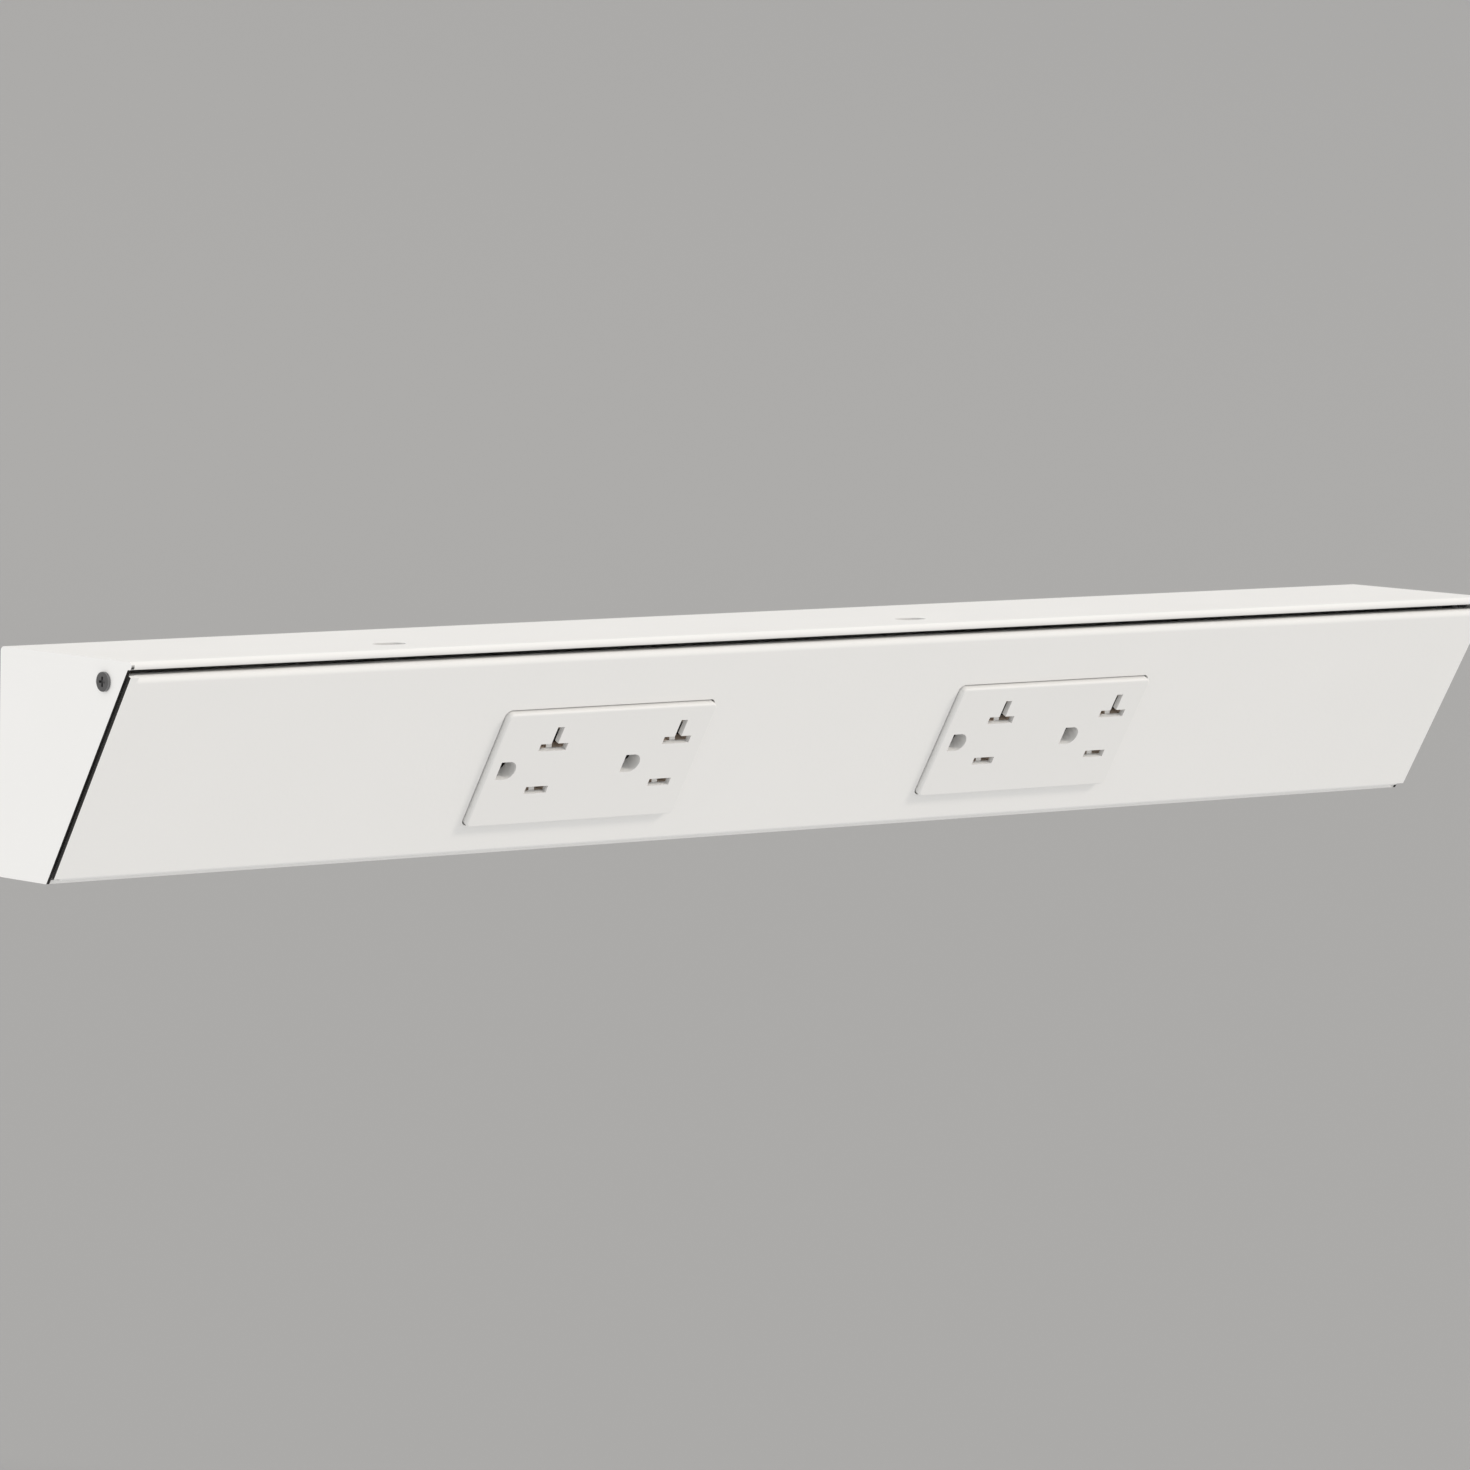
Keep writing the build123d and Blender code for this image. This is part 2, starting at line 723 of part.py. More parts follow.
    with BuildPart() as earth_screw:
        head_plane = device_plane(x, strap_rear + clamp)
        with BuildSketch(head_plane):
            with Locations((earth_tab_u, earth_screw_v)):
                RegularPolygon(strap_head_diameter / 2, 6)
        extrude(amount=-terminal_head_height)
        with BuildSketch(head_plane):
            with Locations((earth_tab_u, earth_screw_v)):
                Circle(terminal_screw_diameter / 2 - thread_clearance)
        extrude(amount=clamp + strap_thickness + terminal_head_height / 2)
    save(earth_screw, f"{side}_earth_screw")

    with BuildPart() as strap_screws:
        with BuildSketch(device_plane(x, strap_rear)):
            with GridLocations(strap_hole_pitch, 0, 2, 1):
                Circle(strap_head_diameter / 2)
        extrude(amount=-strap_head_height)
        with BuildSketch(device_plane(x, strap_rear)):
            with GridLocations(strap_hole_pitch, 0, 2, 1):
                Circle(strap_screw_diameter / 2 - thread_clearance)
        extrude(amount=strap_screw_length)
        with BuildSketch(device_plane(x, strap_rear + strap_head_height)):
            with GridLocations(strap_hole_pitch, 0, 2, 1):
                Rectangle(strap_head_diameter, screw_slot_width)
        extrude(amount=screw_slot_depth, mode=Mode.SUBTRACT)
    save(strap_screws, f"{side}_strap_screws")

# Earth screws on the back, with the ring terminals under their heads
ring_x = {side: earth_screw_x - receptacles["left"] + x for side, x in receptacles.items()}
ring_plane = back_plane.offset(sheet)
barrel_start = earth_head_diameter / 2 + earth_tab_gap
barrel_y = back - sheet - barrel_diameter / 2
with BuildPart() as earth_screws:
    for x in ring_x.values():
        with BuildSketch(ring_plane.offset(ring_thickness)):
            with Locations((x, -earth_screw_drop)):
                RegularPolygon(earth_head_diameter / 2, 6)
        extrude(amount=earth_head_height)
        with BuildSketch(back_plane):
            with Locations((x, -earth_screw_drop)):
                Circle(earth_screw_diameter / 2 - thread_clearance)
        extrude(amount=sheet + ring_thickness)
save(earth_screws, "earth_screws")

with BuildPart() as ring_terminals:
    for x in ring_x.values():
        with BuildSketch(ring_plane):
            with Locations((x, -earth_screw_drop)):
                Circle(ring_diameter / 2)
            with Locations((x + barrel_start, -earth_screw_drop)):
                Rectangle(2 * barrel_start, barrel_diameter / 2)
            with Locations((x, -earth_screw_drop)):
                Circle(earth_screw_diameter / 2, mode=Mode.SUBTRACT)
        extrude(amount=ring_thickness)
        barrel_plane = Plane((x + barrel_start, barrel_y, -earth_screw_drop), z_dir=(1, 0, 0))
        with BuildSketch(barrel_plane):
            Circle(barrel_diameter / 2)
        extrude(amount=barrel_length)
        with BuildSketch(barrel_plane.offset(barrel_length)):
            Circle(insulated / 2 + thread_clearance)
        extrude(amount=-barrel_grip, mode=Mode.SUBTRACT)
save(ring_terminals, "ring_terminals")

# Wires: bare ends under the terminal screws, then insulated runs
copper_u = [
    terminal_x - copper_tip,
    terminal_x + copper_straight,
    terminal_x + copper_straight + copper_step,
    terminal_x + copper_straight + 1.5 * copper_step,
]
copper_v = [conductor_v, conductor_v, wire_v, wire_v]
joined = [("left", 1), ("left", -1), ("right", -1)]
with BuildPart() as copper_ends:
    for side, hand in joined:
        for way in (-1, 1):
            with BuildLine() as route:
                FilletPolyline(
                    *[
                        device_point(receptacles[side], hand * u, way * v, conductor_level)
                        for u, v in zip(copper_u, copper_v)
                    ],
                    radius=copper_bend,
                )
            with BuildSketch(Plane(route.line @ 0, z_dir=route.line % 0)):
                Circle(conductor / 2)
            sweep(path=route.line)
    for x in receptacles.values():
        end = device_point(x, earth_end_u, earth_wire_v, strap_rear + clamp / 2)
        with BuildSketch(Plane(end, z_dir=(1, 0, 0))):
            Circle(conductor / 2)
        extrude(amount=earth_tab_u - earth_end_u + copper_tip)
save(copper_ends, "copper_ends")


def wire_end(side, hand, way):
    """Where the insulation starts at a terminal of a receptacle."""
    return device_point(receptacles[side], hand * copper_u[-1], way * wire_v, conductor_level)


for name, way, lean_way in (("hot", -1, (0, -0.75, -1.0)), ("neutral", 1, (0, 1.0, -0.5))):
    start, finish = wire_end("left", 1, way), wire_end("right", -1, way)
    along = Vector(jumper_straight, 0, 0)
    sag = Vector(*lean_way) * jumper_sag
    jumper = wire(
        [
            start,
            start + along,
            start + 2 * along + sag,
            finish - 2 * along + sag * jumper_ease,
            finish - along,
            finish,
        ],
        insulated,
    )
    save(jumper, f"{name}_jumper")

lead_room = half_length + wire_end("left", -1, 1).X
lead_steps = {
    "hot": [(-0.187, 0.0, 0.0), (-0.358, -0.023, -0.027), (-0.53, -0.062, -0.02)],
    "neutral": [(-0.11, 0.0, 0.0), (-0.23, 0.023, -0.015), (-0.39, 0.058, -0.055), (-0.53, 0.047, -0.085)],
}
lead_ends = []
for name, way in (("hot", -1), ("neutral", 1)):
    start = wire_end("left", -1, way)
    points = [start] + [start + Vector(*step) * lead_room for step in lead_steps[name]]
    lead = wire(points, insulated)
    lead_ends.append(Plane(points[-1], z_dir=points[-1] - points[-2]))
    save(lead, f"{name}_lead")

with BuildPart() as wire_connectors:
    for end in lead_ends:
        with BuildSketch(end.offset(-connector_grip)):
            Circle(connector_mouth / 2)
            with PolarLocations(connector_mouth / 2, connector_ribs):
                Circle(connector_rib)
        with BuildSketch(end.offset(connector_length - connector_grip)):
            Circle(connector_tip / 2)
            with PolarLocations(connector_tip / 2, connector_ribs):
                Circle(connector_rib)
        loft()
        with BuildSketch(end.offset(-connector_grip)):
            Circle(insulated / 2 + thread_clearance)
        extrude(amount=connector_grip, mode=Mode.SUBTRACT)
save(wire_connectors, "wire_connectors")

for side, x in receptacles.items():
    start = device_point(x, earth_end_u, earth_wire_v, strap_rear + clamp / 2)
    finish = Vector(
        ring_x[side] + barrel_start + barrel_length - barrel_grip, barrel_y, -earth_screw_drop
    )
    earth_lead = wire(
        [
            start,
            start - Vector(earth_straight, 0, 0),
            finish + Vector(barrel_grip + earth_straight, 0, 0),
            finish,
        ],
        insulated,
    )
    save(earth_lead, f"{side}_earth_lead")
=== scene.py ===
"""Under-cabinet power strip: finishes, shutter springs, stage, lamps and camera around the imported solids.

X runs along the strip, Y towards the wall and Z up. The origin is the middle of the top plate.
Sizes are in metres.
"""
import json
import math

import bmesh
import bpy
from mathutils import Matrix, Vector


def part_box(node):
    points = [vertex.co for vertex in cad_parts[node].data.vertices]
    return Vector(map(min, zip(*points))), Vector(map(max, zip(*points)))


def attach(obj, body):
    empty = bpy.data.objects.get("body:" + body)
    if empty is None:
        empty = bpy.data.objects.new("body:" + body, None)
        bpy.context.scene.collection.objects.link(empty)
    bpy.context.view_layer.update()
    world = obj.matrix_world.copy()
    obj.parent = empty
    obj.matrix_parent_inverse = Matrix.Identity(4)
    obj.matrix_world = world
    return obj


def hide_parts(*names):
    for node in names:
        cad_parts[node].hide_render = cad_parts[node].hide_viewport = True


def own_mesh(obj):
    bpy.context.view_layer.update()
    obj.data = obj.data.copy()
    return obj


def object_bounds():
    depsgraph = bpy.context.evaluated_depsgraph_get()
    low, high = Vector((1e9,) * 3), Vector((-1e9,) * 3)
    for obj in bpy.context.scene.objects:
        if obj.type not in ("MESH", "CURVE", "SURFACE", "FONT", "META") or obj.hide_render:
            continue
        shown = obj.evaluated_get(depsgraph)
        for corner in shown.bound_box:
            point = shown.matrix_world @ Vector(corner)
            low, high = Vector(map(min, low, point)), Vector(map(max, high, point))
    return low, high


bl_info = {
    "name": "Under-cabinet power strip",
    "version": (1, 0, 0),
    "blender": (4, 5, 0),
    "location": "3D View > Sidebar > Power Strip",
    "description": "Finishes, shutter springs, stage and camera for an under-cabinet power strip",
    "category": "Object",
}

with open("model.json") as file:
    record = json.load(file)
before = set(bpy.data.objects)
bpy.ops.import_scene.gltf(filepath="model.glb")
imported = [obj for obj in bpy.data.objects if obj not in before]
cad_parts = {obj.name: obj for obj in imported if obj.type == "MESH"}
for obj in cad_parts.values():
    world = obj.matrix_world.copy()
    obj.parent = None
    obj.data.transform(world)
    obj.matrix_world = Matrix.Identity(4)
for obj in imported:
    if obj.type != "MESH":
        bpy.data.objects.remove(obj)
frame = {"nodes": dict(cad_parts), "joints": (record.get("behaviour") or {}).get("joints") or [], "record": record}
cad_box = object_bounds()

STRIP = "strip"
SIDES = ("left", "right")

# The shutters slide straight down the cover, so their joint gives the cover's lean
SLIDE = frame["joints"][0]
LEAN = math.asin(SLIDE["axis"][1])
UP_THE_FACE = Vector((0, -math.sin(LEAN), math.cos(LEAN)))
OUT_OF_THE_FACE = Vector((0, -math.cos(LEAN), -math.sin(LEAN)))


# Sizes and colours that a user would change


class SheetMetalLook(bpy.types.PropertyGroup):
    """Powder coat on the housing, end plates and cover"""

    coat: bpy.props.FloatVectorProperty(
        name="Coat", description="Colour of the powder coat", subtype="COLOR", size=3,
        min=0, max=1, default=(0.85, 0.845, 0.832),
    )
    roughness: bpy.props.FloatProperty(
        name="Roughness", description="Roughness of the powder coat", default=0.52, min=0, max=1,
    )
    grain: bpy.props.FloatProperty(
        name="Grain", description="Width of the orange peel in the coat", default=0.0011,
        min=0.0001, max=0.01, unit="LENGTH",
    )
    relief: bpy.props.FloatProperty(
        name="Relief", description="Depth of the orange peel", default=0.000022,
        min=0, max=0.001, unit="LENGTH", precision=6,
    )
    # The uncoated cut edges, painted near black as the shade in the gap between cover and end plates
    bare_edge_gap_shade: bpy.props.FloatVectorProperty(
        name="Bare edge", description="Colour of the cover's cut ends, which have no coat",
        subtype="COLOR", size=3, min=0, max=1, default=(0.012, 0.011, 0.010),
    )
    # How far in from the cover's ends that painted gap shade reaches
    gap_shade_reach: bpy.props.FloatProperty(
        name="Bare reach", description="How far in from the cover's ends a cut edge is still bare",
        default=0.001, min=0, max=0.1, unit="LENGTH", precision=4,
    )


class MouldingLook(bpy.types.PropertyGroup):
    """Moulded plastic of the receptacles"""

    face: bpy.props.FloatVectorProperty(
        name="Face", description="Colour of the receptacle faces", subtype="COLOR", size=3,
        min=0, max=1, default=(0.83, 0.825, 0.812),
    )
    # The shutters are darker and browner than the faces: painted shade, standing in for the shade deep in the
    # slots
    shutter: bpy.props.FloatVectorProperty(
        name="Shutter", description="Colour of the shutters", subtype="COLOR", size=3,
        min=0, max=1, default=(0.62, 0.51, 0.42),
    )
    # The teeth's fronts, facing out of the slots, are lighter than the rest of each shutter: a painted highlight
    painted_lit_tooth: bpy.props.FloatVectorProperty(
        name="Tooth", description="Colour of the light front of each shutter's teeth",
        subtype="COLOR", size=3, min=0, max=1, default=(0.84, 0.83, 0.81),
    )
    deck: bpy.props.FloatVectorProperty(
        name="Deck", description="Colour of the insulating decks", subtype="COLOR", size=3,
        min=0, max=1, default=(0.035, 0.031, 0.028),
    )
    body: bpy.props.FloatVectorProperty(
        name="Body", description="Colour of the rear bodies", subtype="COLOR", size=3,
        min=0, max=1, default=(0.075, 0.078, 0.082),
    )
    connector: bpy.props.FloatVectorProperty(
        name="Connector", description="Colour of the wire connectors", subtype="COLOR", size=3,
        min=0, max=1, default=(0.70, 0.22, 0.03),
    )
    roughness: bpy.props.FloatProperty(
        name="Roughness", description="Roughness of the mouldings", default=0.36, min=0, max=1,
    )
    grain: bpy.props.FloatProperty(
        name="Grain", description="Width of the spark texture from the mould", default=0.00022,
        min=0.00005, max=0.01, unit="LENGTH", precision=5,
    )
    relief: bpy.props.FloatProperty(
        name="Relief", description="Depth of the spark texture", default=0.000005,
        min=0, max=0.001, unit="LENGTH", precision=6,
    )


class MetalLook(bpy.types.PropertyGroup):
    """Plated steel, brass and copper"""

    zinc: bpy.props.FloatVectorProperty(
        name="Zinc", description="Colour of the zinc-plated pieces", subtype="COLOR", size=3,
        min=0, max=1, default=(0.60, 0.61, 0.63),
    )
    strap: bpy.props.FloatVectorProperty(
        name="Strap", description="Colour of the mounting straps", subtype="COLOR", size=3,
        min=0, max=1, default=(0.56, 0.56, 0.54),
    )
    spring: bpy.props.FloatVectorProperty(
        name="Spring", description="Colour of the spring wire", subtype="COLOR", size=3,
        min=0, max=1, default=(0.50, 0.50, 0.50),
    )
    screw: bpy.props.FloatVectorProperty(
        name="Cover screw", description="Colour of the cover screws", subtype="COLOR", size=3,
        min=0, max=1, default=(0.27, 0.27, 0.275),
    )
    brass: bpy.props.FloatVectorProperty(
        name="Brass", description="Colour of the contacts", subtype="COLOR", size=3,
        min=0, max=1, default=(0.72, 0.50, 0.19),
    )
    nickel: bpy.props.FloatVectorProperty(
        name="Nickel", description="Colour of the neutral screws", subtype="COLOR", size=3,
        min=0, max=1, default=(0.66, 0.63, 0.58),
    )
    copper: bpy.props.FloatVectorProperty(
        name="Copper", description="Colour of the bare wire ends", subtype="COLOR", size=3,
        min=0, max=1, default=(0.80, 0.36, 0.20),
    )
    green: bpy.props.FloatVectorProperty(
        name="Green", description="Colour of the dyed earth screws", subtype="COLOR", size=3,
        min=0, max=1, default=(0.03, 0.27, 0.07),
    )
    streak: bpy.props.FloatProperty(
        name="Streak", description="Spacing of the rolling marks", default=0.00018,
        min=0.00002, max=0.01, unit="LENGTH", precision=5,
    )


class WireLook(bpy.types.PropertyGroup):
    """Insulation of the wires"""

    hot: bpy.props.FloatVectorProperty(
        name="Hot", description="Colour of the hot wires", subtype="COLOR", size=3,
        min=0, max=1, default=(0.012, 0.012, 0.013),
    )
    neutral: bpy.props.FloatVectorProperty(
        name="Neutral", description="Colour of the neutral wires", subtype="COLOR", size=3,
        min=0, max=1, default=(0.78, 0.77, 0.74),
    )
    earth: bpy.props.FloatVectorProperty(
        name="Earth", description="Colour of the earth wires", subtype="COLOR", size=3,
        min=0, max=1, default=(0.02, 0.24, 0.06),
    )


class SpringSize(bpy.types.PropertyGroup):
    """Shutter springs"""

    free_length: bpy.props.FloatProperty(
        name="Length", description="Length at rest, between its two seats", default=0.00556,
        min=0.001, max=0.02, unit="LENGTH", precision=5,
    )
    coil_diameter: bpy.props.FloatProperty(
        name="Coil diameter", description="Outside diameter", default=0.0014,
        min=0.0005, max=0.01, unit="LENGTH", precision=5,
    )
    wire: bpy.props.FloatProperty(
        name="Wire", description="Wire diameter", default=0.00026,
        min=0.0001, max=0.002, unit="LENGTH", precision=5,
    )
    turns: bpy.props.FloatProperty(
        name="Turns", description="Working turns", default=5.0, min=1, max=20,
    )
    closed_turns: bpy.props.FloatProperty(
        name="Closed turns", description="Turns that lie close at each end", default=1.0,
        min=0, max=3,
    )


class StageSize(bpy.types.PropertyGroup):
    """Floor, backdrop, lamps and camera"""

    drop: bpy.props.FloatProperty(
        name="Drop", description="Height of the strip above the floor", default=0.22,
        min=0, max=2, unit="LENGTH",
    )
    radius: bpy.props.FloatProperty(
        name="Radius", description="Radius of the flat floor", default=3.2,
        min=1, max=20, unit="LENGTH",
    )
    wall: bpy.props.FloatProperty(
        name="Wall", description="Height of the backdrop", default=3.0,
        min=0.5, max=20, unit="LENGTH",
    )
    sweep: bpy.props.FloatProperty(
        name="Sweep", description="Radius between floor and backdrop", default=1.4,
        min=0.1, max=5, unit="LENGTH",
    )
    floor: bpy.props.FloatVectorProperty(
        name="Floor", description="Colour of floor and backdrop", subtype="COLOR", size=3,
        min=0, max=1, default=(0.38, 0.38, 0.38),
    )
    sky: bpy.props.FloatProperty(
        name="Soft light", description="Strength of the light from all round", default=0.90,
        min=0, max=5,
    )
    warm: bpy.props.FloatVectorProperty(
        name="Warm lamp", description="Colour of the key lamp", subtype="COLOR", size=3,
        min=0, max=1, default=(1.0, 0.93, 0.85),
    )
    plain: bpy.props.FloatVectorProperty(
        name="Plain lamp", description="Colour of the top lamp and the lamp beyond the left end",
        subtype="COLOR", size=3, min=0, max=1, default=(1.0, 0.99, 0.98),
    )
    lens: bpy.props.FloatProperty(
        name="Lens", description="Focal length in millimetres on a 36 mm frame", default=184.23,
        min=10, max=500,
    )


# Node groups and materials


# Textures are set out in metres, so a scale is a count per metre
MOTTLE_SCALE = 38.0
TARNISH_SCALE = 260.0
STREAK_STRETCH = (0.04, 1.0, 1.0)

SURFACE_OUTPUTS = [
    ("Colour", "NodeSocketColor"),
    ("Roughness", "NodeSocketFloat"),
    ("Height", "NodeSocketFloat"),
]

# Places of the colour sockets of a Mix node, which shares its socket names between kinds of data
MIX_FIRST, MIX_SECOND, MIX_RESULT = 6, 7, 2


def feed(tree, socket, value):
    """Links another node's output to this socket, or sets the socket to a plain value."""
    if isinstance(value, bpy.types.NodeSocket):
        tree.links.new(value, socket)
    else:
        socket.default_value = value


def put(tree, kind, **settings):
    """A node of this kind. Settings name its own options, or its input sockets with _ for a space."""
    node = tree.nodes.new(kind)
    for name, value in settings.items():
        socket = node.inputs.get(name.replace("_", " "))
        if socket is None:
            setattr(node, name, value)
        else:
            feed(tree, socket, value)
    return node


def calculate(tree, operation, *values, clamp=False):
    """The result of a Math node on these numbers and sockets."""
    node = put(tree, "ShaderNodeMath", operation=operation, use_clamp=clamp)
    for socket, value in zip(node.inputs, values):
        feed(tree, socket, value)
    return node.outputs[0]


def shade(tree, colour, factor):
    """The colour, brightened or darkened by a factor."""
    return put(tree, "ShaderNodeVectorMath", operation="SCALE", Vector=colour, Scale=factor).outputs[0]


def reach_along(tree, vector, direction):
    """How far a vector reaches along a direction, either way."""
    node = put(tree, "ShaderNodeVectorMath", operation="DOT_PRODUCT")
    feed(tree, node.inputs[0], vector)
    feed(tree, node.inputs[1], direction)
    return calculate(tree, "ABSOLUTE", node.outputs["Value"])


def blend_shaders(tree, share, first, second, output):
    """Shows the first shader, and the second one where the share is 1."""
    mix = put(tree, "ShaderNodeMixShader", Fac=share)
    tree.links.new(first.outputs[0], mix.inputs[1])
    tree.links.new(second.outputs[0], mix.inputs[2])
    tree.links.new(mix.outputs[0], output.inputs["Surface"])


def group_tree(name, inputs, outputs):
    """An empty shader group with these sockets, what it is given and what it puts out."""
    tree = bpy.data.node_groups.new(name, "ShaderNodeTree")
    for label, kind, value in inputs:
        socket = tree.interface.new_socket(name=label, in_out="INPUT", socket_type=kind)
        socket.default_value = value
    for label, kind in outputs:
        tree.interface.new_socket(name=label, in_out="OUTPUT", socket_type=kind)
    return tree, tree.nodes.new("NodeGroupInput").outputs, tree.nodes.new("NodeGroupOutput").inputs


def build_fine_grain():
    """Even grain of a coat or moulding: faint mottling of its colour and gloss, and its height."""
    tree, given, result = group_tree(
        "Fine grain",
        [
            ("Colour", "NodeSocketColor", (0.8, 0.8, 0.8, 1)),
            ("Mottle", "NodeSocketFloat", 0.02),
            ("Roughness", "NodeSocketFloat", 0.4),
            ("Gloss Spread", "NodeSocketFloat", 0.06),
            ("Grain Scale", "NodeSocketFloat", 900.0),
        ],
        SURFACE_OUTPUTS,
    )
    place = put(tree, "ShaderNodeTexCoord").outputs["Object"]
    clouds = put(
        tree, "ShaderNodeTexNoise", Vector=place, Scale=MOTTLE_SCALE, Detail=3.0, Roughness=0.6
    )
    grain = put(
        tree, "ShaderNodeTexNoise", Vector=place, Scale=given["Grain Scale"], Detail=2.0, Roughness=0.5
    )
    centred = calculate(tree, "SUBTRACT", clouds.outputs["Fac"], 0.5)
    tint = calculate(tree, "MULTIPLY_ADD", centred, given["Mottle"], 1.0)
    gloss = calculate(
        tree, "MULTIPLY_ADD", centred, given["Gloss Spread"], given["Roughness"], clamp=True
    )
    feed(tree, result["Colour"], shade(tree, given["Colour"], tint))
    feed(tree, result["Roughness"], gloss)
    feed(tree, result["Height"], grain.outputs["Fac"])
    return tree


def build_rolled_metal():
    """Rolling and plating marks of sheet and wire: streaks along X, and dull patches."""
    tree, given, result = group_tree(
        "Rolled metal",
        [
            ("Colour", "NodeSocketColor", (0.6, 0.6, 0.6, 1)),
            ("Streak Scale", "NodeSocketFloat", 5000.0),
            ("Roughness", "NodeSocketFloat", 0.3),
            ("Tarnish", "NodeSocketFloat", 0.15),
        ],
        SURFACE_OUTPUTS,
    )
    place = put(tree, "ShaderNodeTexCoord").outputs["Object"]
    stretched = put(tree, "ShaderNodeMapping", Vector=place, Scale=STREAK_STRETCH).outputs[0]
    streaks = put(
        tree, "ShaderNodeTexNoise", Vector=stretched, Scale=given["Streak Scale"], Detail=2.0,
        Roughness=0.65,
    )
    patches = put(
        tree, "ShaderNodeTexNoise", Vector=place, Scale=TARNISH_SCALE, Detail=4.0, Roughness=0.6
    )
    dull = put(
        tree, "ShaderNodeMapRange", Value=patches.outputs["Fac"], From_Min=0.35, From_Max=0.75
    )
    amount = calculate(tree, "MULTIPLY", dull.outputs["Result"], given["Tarnish"])
    bright = calculate(tree, "SUBTRACT", 1.0, amount)
    feed(tree, result["Colour"], shade(tree, given["Colour"], bright))
    feed(tree, result["Roughness"], calculate(tree, "ADD", given["Roughness"], amount, clamp=True))
    feed(tree, result["Height"], streaks.outputs["Fac"])
    return tree


def build_shaded_cut_edges():
    """Mask of a sheet's cut edges, which take painted shade of the gap beside them: 1 where it faces along the
    direction and lies beyond a distance.
    """
    tree, given, result = group_tree(
        "Cut edges and gap shade",
        [
            ("Direction", "NodeSocketVector", (1, 0, 0)),
            ("Width", "NodeSocketFloat", 0.2),
            ("Beyond", "NodeSocketFloat", 0.0),
        ],
        [("Mask", "NodeSocketFloat")],
    )
    place = put(tree, "ShaderNodeTexCoord").outputs
    facing = reach_along(tree, place["Normal"], given["Direction"])
    start = calculate(tree, "SUBTRACT", 1.0, given["Width"])
    edge = put(tree, "ShaderNodeMapRange", Value=facing, From_Min=start, From_Max=1.0)
    distance = reach_along(tree, place["Object"], given["Direction"])
    outside = calculate(tree, "GREATER_THAN", distance, given["Beyond"])
    feed(tree, result["Mask"], calculate(tree, "MULTIPLY", edge.outputs["Result"], outside))
    return tree


GROUP_BUILDERS = {
    "Fine grain": build_fine_grain,
    "Rolled metal": build_rolled_metal,
    "Cut edges and gap shade": build_shaded_cut_edges,
}


def use_group(tree, name, **values):
    """A node of the named group in this material, with its own values."""
    group = bpy.data.node_groups.get(name) or GROUP_BUILDERS[name]()
    node = tree.nodes.new("ShaderNodeGroup")
    node.node_tree = group
    for label, value in values.items():
        node.inputs[label.replace("_", " ")].default_value = value
    return node


def new_surface(name, colour, **sockets):
    """A material with one Principled shader in this colour, and that shader."""
    material = bpy.data.materials.new(name)
    material.use_nodes = True
    material.diffuse_color = (*colour, 1)
    shader = material.node_tree.nodes["Principled BSDF"]
    shader.inputs["Base Color"].default_value = (*colour, 1)
    for label, value in sockets.items():
        shader.inputs[label.replace("_", " ")].default_value = value
    return material, shader


def textured(name, effect, colour, relief, strength=1.0, metallic=0.0, **values):
    """A material that takes its colour, gloss and relief from an effect group with these values."""
    material, shader = new_surface(name, colour, Metallic=metallic)
    tree = material.node_tree
    group = use_group(tree, effect, Colour=(*colour, 1), **values)
    bump = put(
        tree, "ShaderNodeBump", Strength=strength, Distance=relief, Height=group.outputs["Height"]
    )
    feed(tree, shader.inputs["Base Color"], group.outputs["Colour"])
    feed(tree, shader.inputs["Roughness"], group.outputs["Roughness"])
    feed(tree, shader.inputs["Normal"], bump.outputs["Normal"])
    return material


def powder_coat(name="Powder coat"):
    """White powder coat, all over the sheet."""
    look = bpy.context.scene.sheet_metal_look
    return textured(
        name, "Fine grain", look.coat, look.relief,
        Mottle=0.02, Roughness=look.roughness, Grain_Scale=1 / look.grain,
    )


def coat_with_shaded_edges(name, direction, beyond=0.0):
    """The same coat on a sheet that was cut after coating: its outer edges that face this way are bare, and
    painted near black as the shade of the gap beside them.
    """
    material = powder_coat(name)
    tree = material.node_tree
    colour = tree.nodes["Principled BSDF"].inputs["Base Color"]
    coat = colour.links[0].from_socket
    edges = use_group(tree, "Cut edges and gap shade", Direction=direction, Width=0.3, Beyond=beyond)
    # Painted shade: the masked edges take the near-black edge colour instead of the coat
    mix = put(tree, "ShaderNodeMix", data_type="RGBA", Factor=edges.outputs["Mask"])
    feed(tree, mix.inputs[MIX_FIRST], coat)
    feed(tree, mix.inputs[MIX_SECOND], (*bpy.context.scene.sheet_metal_look.bare_edge_gap_shade, 1))
    feed(tree, colour, mix.outputs[MIX_RESULT])
    return material


def moulding(name, colour, dullness=1.0, mottle=0.015):
    """Moulded plastic in this colour. The dullness multiplies the roughness that the user set."""
    look = bpy.context.scene.moulding_look
    return textured(
        name, "Fine grain", colour, look.relief,
        Mottle=mottle, Roughness=look.roughness * dullness, Grain_Scale=1 / look.grain,
    )


def insulation(name, colour):
    """Extruded wire insulation in this colour."""
    grain = 0.0006
    return textured(
        name, "Fine grain", colour, relief=0.00001, Mottle=0.04, Roughness=0.3, Grain_Scale=1 / grain
    )


def metal(name, colour, roughness, metallic=1.0):
    """Plated, brass or copper piece in this colour, with rolling marks and a little tarnish."""
    streak = bpy.context.scene.metal_look.streak
    return textured(
        name, "Rolled metal", colour, relief=0.000004, strength=0.4, metallic=metallic,
        Streak_Scale=1 / streak, Roughness=roughness, Tarnish=0.12,
    )


